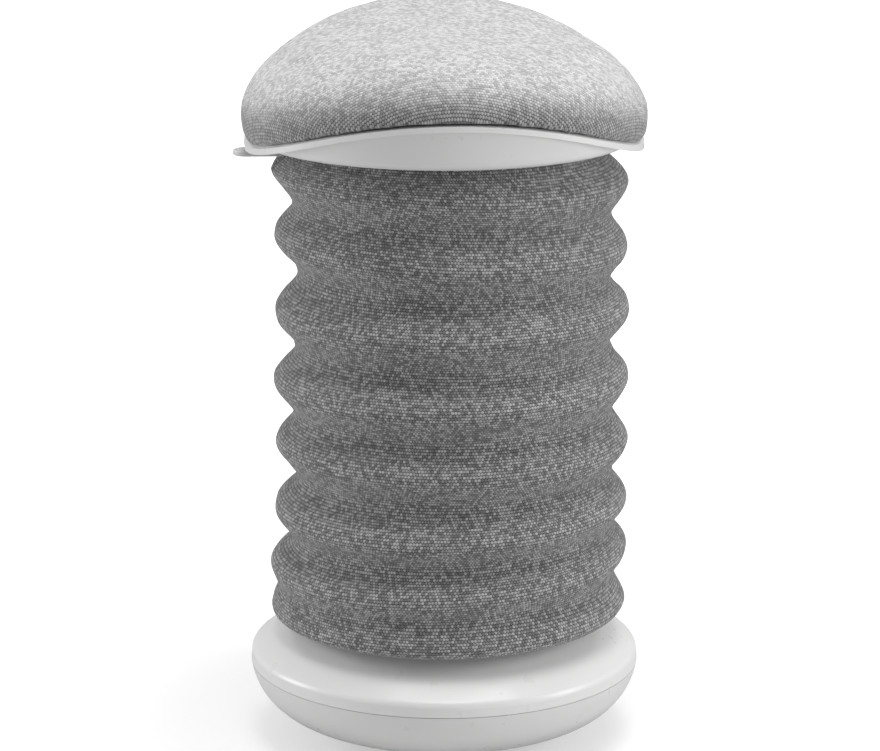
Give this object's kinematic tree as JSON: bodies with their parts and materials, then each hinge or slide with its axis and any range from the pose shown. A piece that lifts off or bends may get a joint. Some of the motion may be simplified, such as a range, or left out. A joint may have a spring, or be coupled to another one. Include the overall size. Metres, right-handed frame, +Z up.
{
  "type": "wobble stool",
  "caption": "Height-adjustable wobble stool with a rocking weighted base, a ribbed fabric sleeve around its gas column and a saddle-shaped padded seat.",
  "frame": {"origin": "on the column's axis, on the floor under the rubber foot", "axes": "+Z up along the column, the sitter faces -Y, the release lever sticks out towards -X"},
  "size_m": [0.367, 0.36, 0.66],
  "materials": {
    "white_plastic": "satin moulded",
    "tab_plastic": "fine satin",
    "cushion_fabric": "light grey melange weave",
    "sleeve_fabric": "mid grey melange knit",
    "foot_rubber": "matte",
    "iron": "painted casting",
    "column_paint": "black powder coat",
    "plate_paint": "black powder coat",
    "bright_steel": "hard chromed",
    "fastener_steel": "zinc plated",
    "spring_steel": "spring wire",
    "bush_plastic": "moulded",
    "ring_plastic": "moulded",
    "board": "moulded plywood"
  },
  "bodies": {
    "base": {"base_lower_shell": "white_plastic", "base_top_cover": "white_plastic", "foot_pad": "foot_rubber", "base_screws": "fastener_steel", "ballast_ring": "iron", "hub_socket": "column_paint", "hub_bolts": "fastener_steel", "column_tube": "column_paint", "guide_bush": "bush_plastic", "lower_race": "bright_steel", "bearing_balls": "bright_steel"},
    "swivel": {"upper_race": "bright_steel", "rubber_buffer": "foot_rubber", "piston_rod": "bright_steel", "retaining_clip": "spring_steel", "piston": "fastener_steel", "sleeve_bottom_ring": "ring_plastic", "bellows_sleeve": "sleeve_fabric"},
    "lift": {"gas_cylinder": "bright_steel", "cylinder_head": "bush_plastic", "cone_socket": "plate_paint", "seat_plate": "plate_paint", "plate_bolts": "fastener_steel", "tee_nuts": "fastener_steel", "lever_pivot_pin": "fastener_steel", "seat_shell": "white_plastic", "seat_board": "board", "seat_cushion": "cushion_fabric", "shell_screws": "fastener_steel", "sleeve_top_ring": "ring_plastic"},
    "lever": {"release_lever": "plate_paint", "lever_paddle": "tab_plastic"},
    "valve": {"valve_pin": "bright_steel"},
    "hoop_1": {"hoop_1": "spring_steel"},
    "hoop_2": {"hoop_2": "spring_steel"},
    "hoop_3": {"hoop_3": "spring_steel"},
    "hoop_4": {"hoop_4": "spring_steel"},
    "hoop_5": {"hoop_5": "spring_steel"},
    "hoop_6": {"hoop_6": "spring_steel"},
    "hoop_7": {"hoop_7": "spring_steel"},
    "hoop_8": {"hoop_8": "spring_steel"}
  },
  "joints": [
    {"name": "seat_swivel", "type": "hinge", "parent": "base", "child": "swivel", "pos_m": [0, 0, 0], "axis": [0, 0, 1], "continuous": true},
    {"name": "seat_lift", "type": "slide", "parent": "swivel", "child": "lift", "axis": [0, 0, 1], "range_m": [-0.13, 0], "deforming": ["bellows_sleeve"]},
    {"name": "lever_pull", "type": "hinge", "parent": "lift", "child": "lever", "pos_m": [-0.042, 0, 0.538], "axis": [0, 1, 0], "range_deg": [0, 2], "stiffness_Nm_per_rad": 5, "springref_deg": -2.86},
    {"name": "valve_press", "type": "slide", "parent": "lift", "child": "valve", "axis": [0, 0, -1], "range_m": [0, 0.0017]},
    {"name": "hoop_1_slide", "type": "slide", "parent": "swivel", "child": "hoop_1", "axis": [0, 0, 1], "range_m": [-0.0046, 0]},
    {"name": "hoop_2_slide", "type": "slide", "parent": "swivel", "child": "hoop_2", "axis": [0, 0, 1], "range_m": [-0.0172, 0]},
    {"name": "hoop_3_slide", "type": "slide", "parent": "swivel", "child": "hoop_3", "axis": [0, 0, 1], "range_m": [-0.0322, 0]},
    {"name": "hoop_4_slide", "type": "slide", "parent": "swivel", "child": "hoop_4", "axis": [0, 0, 1], "range_m": [-0.0491, 0]},
    {"name": "hoop_5_slide", "type": "slide", "parent": "swivel", "child": "hoop_5", "axis": [0, 0, 1], "range_m": [-0.0671, 0]},
    {"name": "hoop_6_slide", "type": "slide", "parent": "swivel", "child": "hoop_6", "axis": [0, 0, 1], "range_m": [-0.0855, 0]},
    {"name": "hoop_7_slide", "type": "slide", "parent": "swivel", "child": "hoop_7", "axis": [0, 0, 1], "range_m": [-0.1037, 0]},
    {"name": "hoop_8_slide", "type": "slide", "parent": "swivel", "child": "hoop_8", "axis": [0, 0, 1], "range_m": [-0.121, 0]}
  ],
  "couplings": [
    {"joint": "valve_press", "follows": "lever_pull", "m_per_rad": 0.046},
    {"joint": "hoop_1_slide", "follows": "seat_lift", "ratio": 0.03355},
    {"joint": "hoop_2_slide", "follows": "seat_lift", "ratio": 0.13048},
    {"joint": "hoop_3_slide", "follows": "seat_lift", "ratio": 0.24638},
    {"joint": "hoop_4_slide", "follows": "seat_lift", "ratio": 0.37606},
    {"joint": "hoop_5_slide", "follows": "seat_lift", "ratio": 0.51436},
    {"joint": "hoop_6_slide", "follows": "seat_lift", "ratio": 0.6561},
    {"joint": "hoop_7_slide", "follows": "seat_lift", "ratio": 0.79613},
    {"joint": "hoop_8_slide", "follows": "seat_lift", "ratio": 0.92926}
  ]
}
